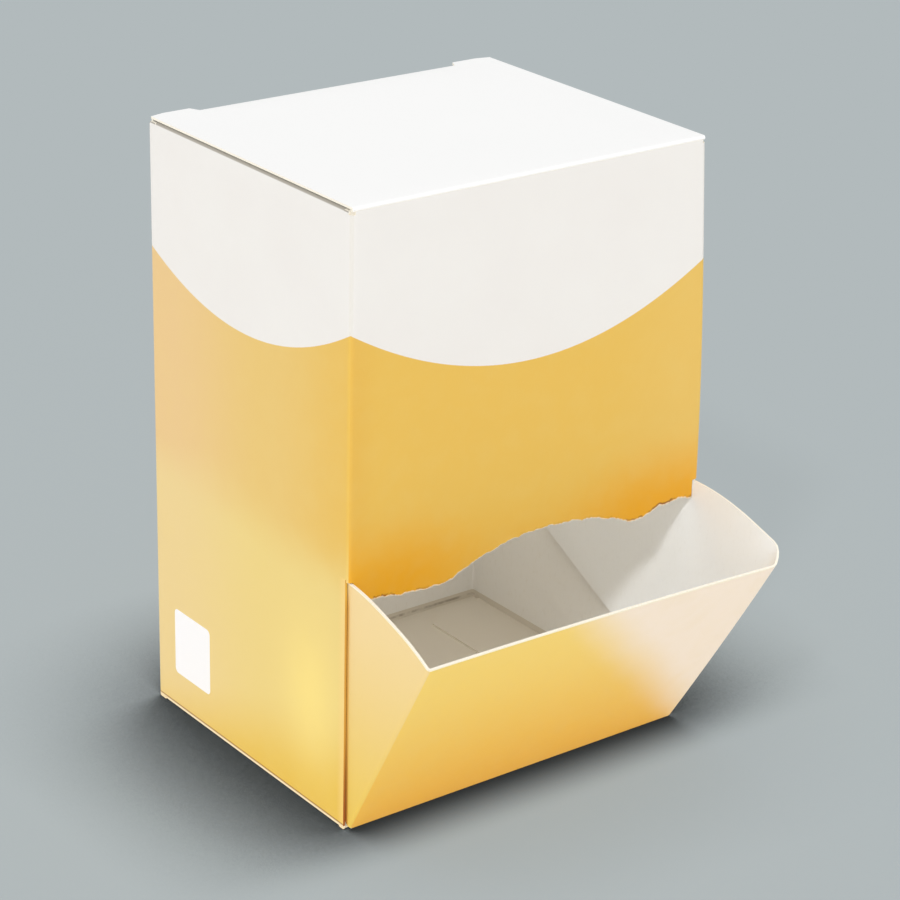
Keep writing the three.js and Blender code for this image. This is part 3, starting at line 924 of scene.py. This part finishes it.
def cut_edge(name, groove_shade_and_foot=False):
    """Pale layers of board on a cut edge, with painted brown shade where the wings pass the side
    panels.
    """
    nodes = Nodes(name, CUT_ROUGHNESS)
    plies = nodes.noise(0.25, detail=5, roughness=0.7)
    colour = nodes.mix(nodes.ramp(plies, 0.45, 0.7), CUT_EDGE, CUT_PLY)
    if groove_shade_and_foot:
        # Painted shade: the side panels' front edges are brown beside the wings, for the gap between
        # them.
        in_front = nodes.less(nodes.y, CORNER + 0.4 - DEPTH / 2)
        beside = nodes.math("GREATER_THAN", nodes.size(nodes.x), WIDTH / 2 - 2.0)
        top = nodes.add(nodes.times(nodes.less(nodes.x, 0.0), 4.0), SLOT_TOP - 3)
        groove_shade_mask = nodes.times(in_front, beside, nodes.less(nodes.z, top))
        low_groove_shade = nodes.mix(nodes.ramp(nodes.z, 2.0, 30.0), EDGE_GROOVE_SHADE_LOW, EDGE_GROOVE_SHADE_HIGH)
        groove_shade_colour = nodes.mix(nodes.ramp(nodes.z, 60.0, 67.0), low_groove_shade, EDGE_GOLD)
        colour = nodes.mix(groove_shade_mask, colour, groove_shade_colour)
        colour = nodes.mix(nodes.times(nodes.less(nodes.z, 0.9), beside), colour, CUT_FOOT)
    return nodes.finish(colour, plies, CUT_RELIEF)


# The floor: the reach of its shade in millimetres, and how far it glows by itself to the camera.
SHADE_SAMPLES = 6
SHADE_REACH = 60
FLOOR_GLOW = 0.75


def floor_material():
    """Plain ground for the camera, dark close to the object, and white ground for bounced light."""
    nodes = Nodes("pale_floor", FLOOR_ROUGHNESS)
    nodes.shader.inputs["Specular IOR Level"].default_value = 0.0
    seen = nodes.tree.nodes.new("ShaderNodeLightPath").outputs["Is Camera Ray"]
    nearness = nodes.tree.nodes.new("ShaderNodeAmbientOcclusion")
    nearness.samples = SHADE_SAMPLES
    nearness.inputs["Distance"].default_value = SHADE_REACH * MM
    closeness = nodes.fall(nearness.outputs["AO"], 0.56, 0.97)

    # The shade is narrow in front of the chute and broad beside the box.
    beside = nodes.ramp(nodes.y, -66.0, -44.0)
    shade = nodes.times(closeness, nodes.add(nodes.times(beside, 0.85), 0.1))
    ground = nodes.mix(shade, BACKDROP, CONTACT_SHADE)
    nodes.finish(nodes.mix(seen, FLOOR_BOUNCE, ground))
    glow = nodes.tree.nodes.new("ShaderNodeEmission")
    nodes.link(ground, glow.inputs["Color"])
    blend = nodes.tree.nodes.new("ShaderNodeMixShader")
    nodes.link(nodes.times(seen, FLOOR_GLOW), blend.inputs["Fac"])
    nodes.link(nodes.shader.outputs["BSDF"], blend.inputs[1])
    nodes.link(glow.outputs["Emission"], blend.inputs[2])
    nodes.link(blend.outputs["Shader"], nodes.tree.nodes["Material Output"].inputs["Surface"])
    return nodes.material


# The lamps: each sun's name, strength, angle in degrees and direction, and the lamp inside the box.
WORLD_STRENGTH = 0.78
SUNS = (
    ("front", 0.36, 40, (0.20, 0.97, -0.10)),
    ("left_top", 0.95, 6, (0.62, 0.40, -0.67)),
)
INNER_LAMP_WIDTH = 80
INNER_LAMP_DEPTH = 60
INNER_LAMP_DROP = 8
INNER_LAMP_POWER = 0.029
INNER_LAMP_COLOUR = (1.0, 0.93, 0.82)

# The photograph's camera, found by fitting the box's corners: its place in heights of the box.
CAMERA_TURNS = (37.41, 22.88, 1.41)
CAMERA_PLACE = (-2.159, -3.062, 2.218)
FOCAL_PIXELS = 2815.0
IMAGE_PIXELS = 900.0
SENSOR = 36.0

# The floor's half width and how far it lies below the box, in metres.
FLOOR_REACH = 4.0
FLOOR_DROP = 0.0001


def make_floor():
    """The ground, which is no part of the object."""
    mesh = bpy.data.meshes.new("floor")
    corners = [(x * FLOOR_REACH, y * FLOOR_REACH, 0) for x, y in ((-1, -1), (1, -1), (1, 1), (-1, 1))]
    mesh.from_pydata(corners, [], [(0, 1, 2, 3)])
    mesh.materials.append(floor_material())
    floor = bpy.data.objects.new("floor", mesh)
    floor.location.z = -FLOOR_DROP
    bpy.context.scene.collection.objects.link(floor)


def make_camera():
    """Aims the camera from its azimuth, elevation and roll."""
    azimuth, elevation, roll = (math.radians(a) for a in CAMERA_TURNS)
    place = Vector(CAMERA_PLACE) * HEIGHT - Vector((WIDTH / 2, DEPTH / 2, 0))
    look = Vector((
        math.sin(azimuth) * math.cos(elevation),
        math.cos(azimuth) * math.cos(elevation),
        -math.sin(elevation),
    ))
    level = Vector((math.cos(azimuth), -math.sin(azimuth), 0))
    above = level.cross(look)
    right = level * math.cos(roll) + above * math.sin(roll)
    up = above * math.cos(roll) - level * math.sin(roll)
    data = bpy.data.cameras.new("camera")
    data.sensor_width = SENSOR
    data.lens = FOCAL_PIXELS / IMAGE_PIXELS * SENSOR
    data.clip_start, data.clip_end = 0.01, 20.0
    camera = bpy.data.objects.new("camera", data)
    turn = Matrix((right, up, -look)).transposed().to_4x4()
    camera.matrix_world = Matrix.Translation(place * MM) @ turn
    bpy.context.scene.collection.objects.link(camera)
    bpy.context.scene.camera = camera


def add_lamp(lamp, direction):
    """Puts a lamp into the scene, shining along a direction."""
    holder = bpy.data.objects.new(lamp.name, lamp)
    holder.rotation_euler = Vector(direction).to_track_quat("-Z", "Y").to_euler()
    bpy.context.scene.collection.objects.link(holder)
    return holder


def make_light():
    """A white world, two suns and a soft lamp inside the box."""
    world = bpy.data.worlds.new("studio")
    world.use_nodes = True
    background = world.node_tree.nodes["Background"]
    background.inputs["Color"].default_value = (1.0, 1.0, 1.0, 1.0)
    background.inputs["Strength"].default_value = WORLD_STRENGTH
    bpy.context.scene.world = world
    for name, strength, angle, direction in SUNS:
        lamp = bpy.data.lights.new(name, "SUN")
        lamp.energy = strength
        lamp.angle = math.radians(angle)
        add_lamp(lamp, direction)

    # The soft lamp under the lid stands for the light that comes through the white board.
    inner = bpy.data.lights.new("inside", "AREA")
    inner.shape = "RECTANGLE"
    inner.size, inner.size_y = INNER_LAMP_WIDTH * MM, INNER_LAMP_DEPTH * MM
    inner.energy = INNER_LAMP_POWER
    inner.color = INNER_LAMP_COLOUR
    holder = add_lamp(inner, (0.0, 0.0, -1.0))
    holder.location = (0.0, 0.0, (HEIGHT - INNER_LAMP_DROP) * MM)
    holder.visible_camera = False


walls, lid_coat, chute_print = printed_walls(), white_lid(), printed_chute()
inside = raw_board("raw_inside", RAW_BOARD, RAW_FIBRE)
chute_inside = raw_board("chute_inside", LIT_CHUTE_BOARD, LIT_CHUTE_FIBRE)
edge, carton_edge = cut_edge("cut_edge"), cut_edge("carton_edge", groove_shade_and_foot=True)

carton = make_carton([walls, inside, carton_edge])
bottom = make_bottom([lid_coat, inside, carton_edge])
seam = make_seam([inside, inside, edge])
lid = make_lid([lid_coat, inside, edge])
chute = make_chute([chute_print, chute_inside, edge])

for piece, body, slot in (
    (carton, "box", "carton_board"),
    (bottom, "box", "carton_board"),
    (seam, "box", "carton_board"),
    (lid, "lid", "lid_board"),
    (chute, "chute", "chute_board"),
):
    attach(piece, body)
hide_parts("carton")
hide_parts("top_lid")
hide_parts("dispenser_chute")

make_floor()
make_camera()
make_light()
bpy.context.scene.view_settings.view_transform = "Standard"
